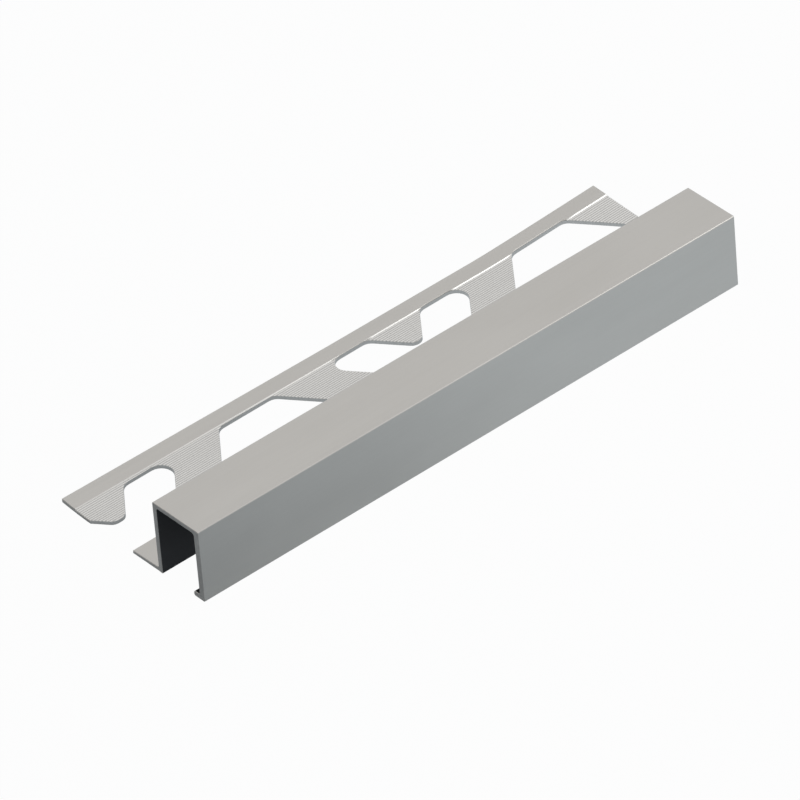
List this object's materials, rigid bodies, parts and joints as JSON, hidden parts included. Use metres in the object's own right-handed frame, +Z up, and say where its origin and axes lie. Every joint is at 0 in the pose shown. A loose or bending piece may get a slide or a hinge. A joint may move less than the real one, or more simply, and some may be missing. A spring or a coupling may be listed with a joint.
{
  "type": "tile edge trim",
  "caption": "Extruded aluminium tile edge trim: square open cover strip with an inward lip, and a thin flat leg punched with slanted holes for tile adhesive.",
  "frame": {"origin": "middle of the underside's bounding rectangle", "axes": "+X along the length, +Y from the cover strip towards the leg's outer edge, +Z up"},
  "size_m": [0.1016, 0.0316, 0.0125],
  "materials": {
    "satin_aluminium": "satin anodised, faint lines along the length"
  },
  "bodies": {
    "root": {"tile_trim": "satin_aluminium"}
  },
  "joints": []
}
